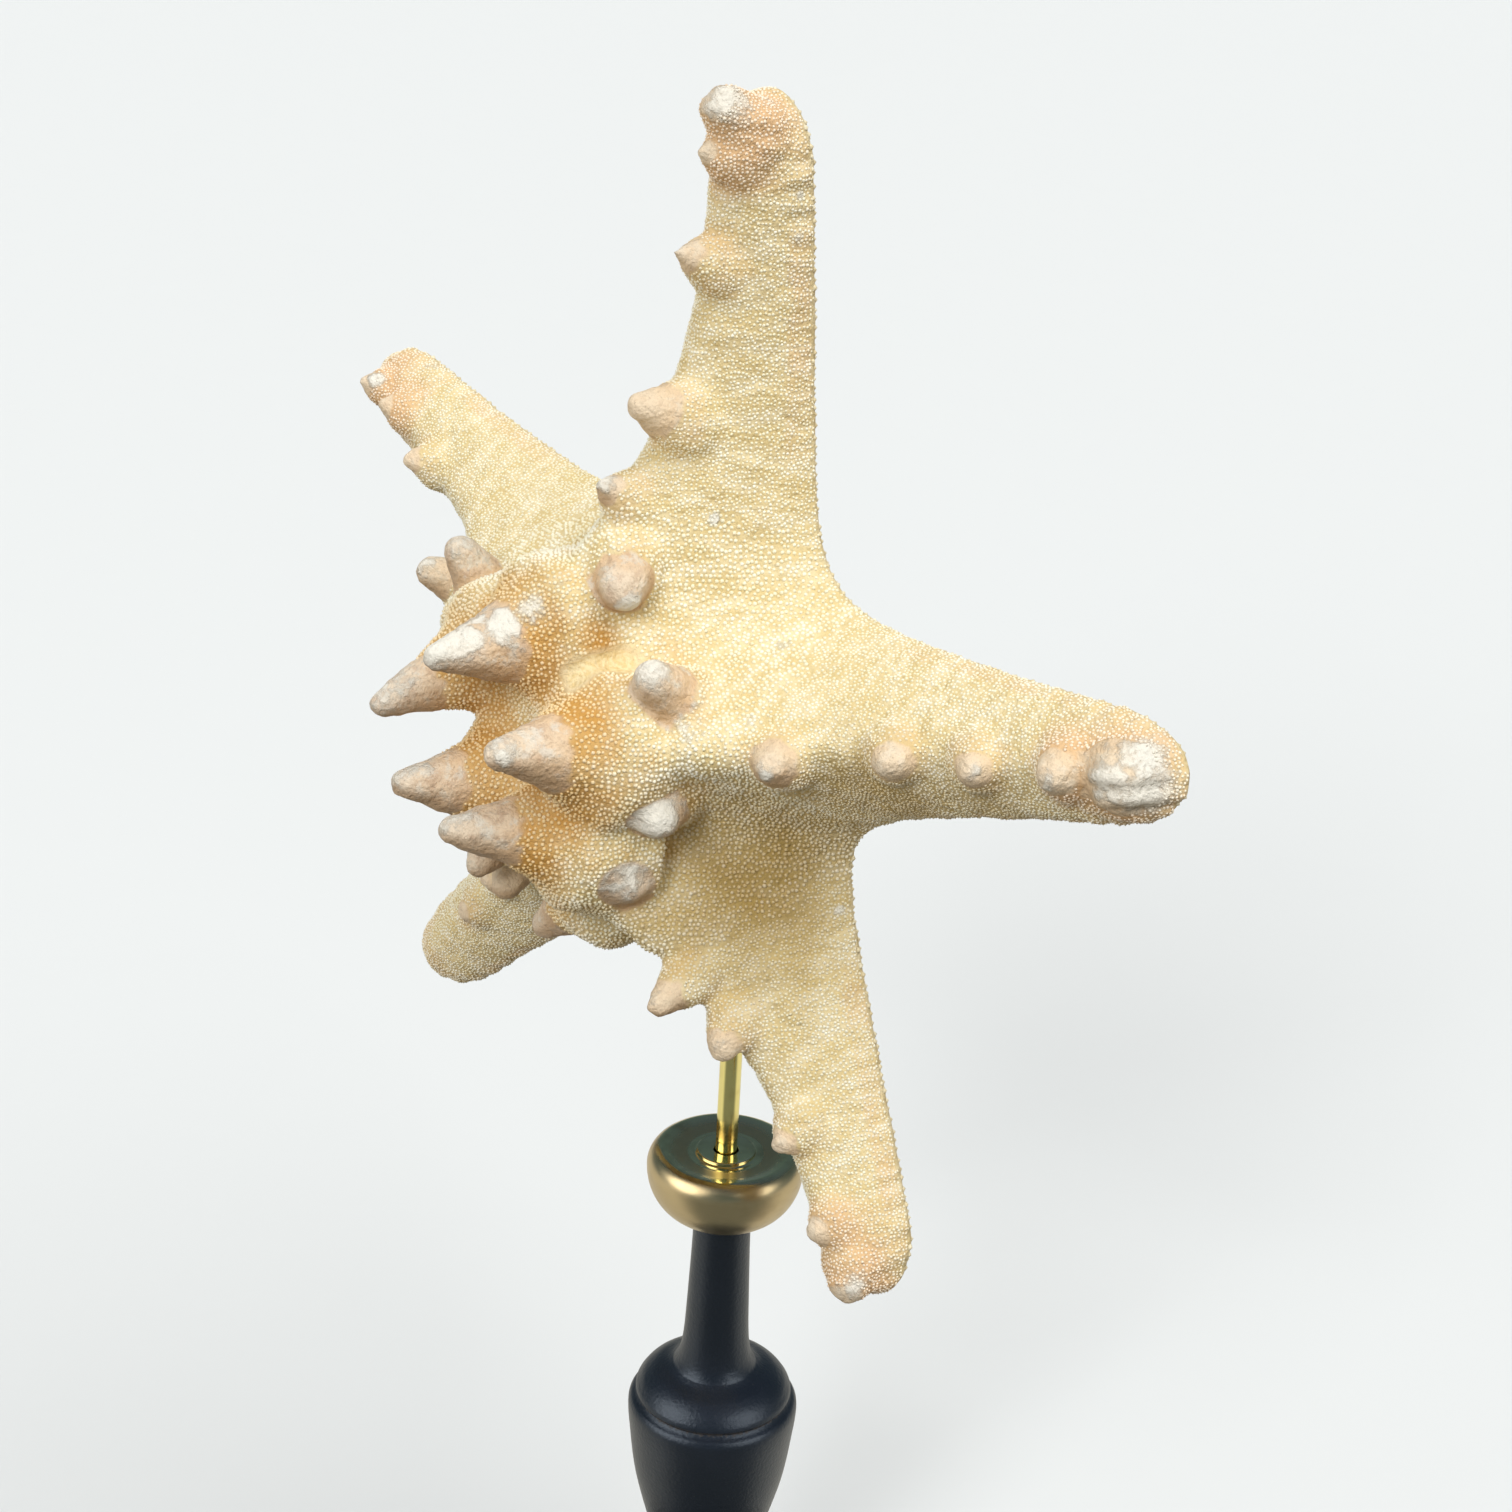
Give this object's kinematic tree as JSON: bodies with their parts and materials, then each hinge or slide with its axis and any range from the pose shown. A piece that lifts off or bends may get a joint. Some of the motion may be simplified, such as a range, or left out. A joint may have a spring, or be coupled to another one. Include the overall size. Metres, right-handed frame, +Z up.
{
  "type": "dried starfish on stand",
  "caption": "Dried horned sea star with pointed horns on its raised disc and tapering arms, held upright by a thin rod on a turned stand.",
  "frame": {"origin": "centre of the stand's flat underside, on the floor", "axes": "+Z up along the rod, -Y towards the star's horned side, +X to the right of a viewer who faces the horned side"},
  "size_m": [0.2413, 0.1091, 0.3644],
  "materials": {
    "star_skin": "dry, matt and granular, cream to ochre with chalky horn tips",
    "rod_brass": "satin drawn brass",
    "collar_brass": "polished brass, slightly tarnished",
    "stand_black": "satin black, worn in the groove"
  },
  "bodies": {
    "root": {"starfish": "star_skin", "rod": "rod_brass", "collar": "collar_brass", "stand": "stand_black"}
  },
  "joints": []
}
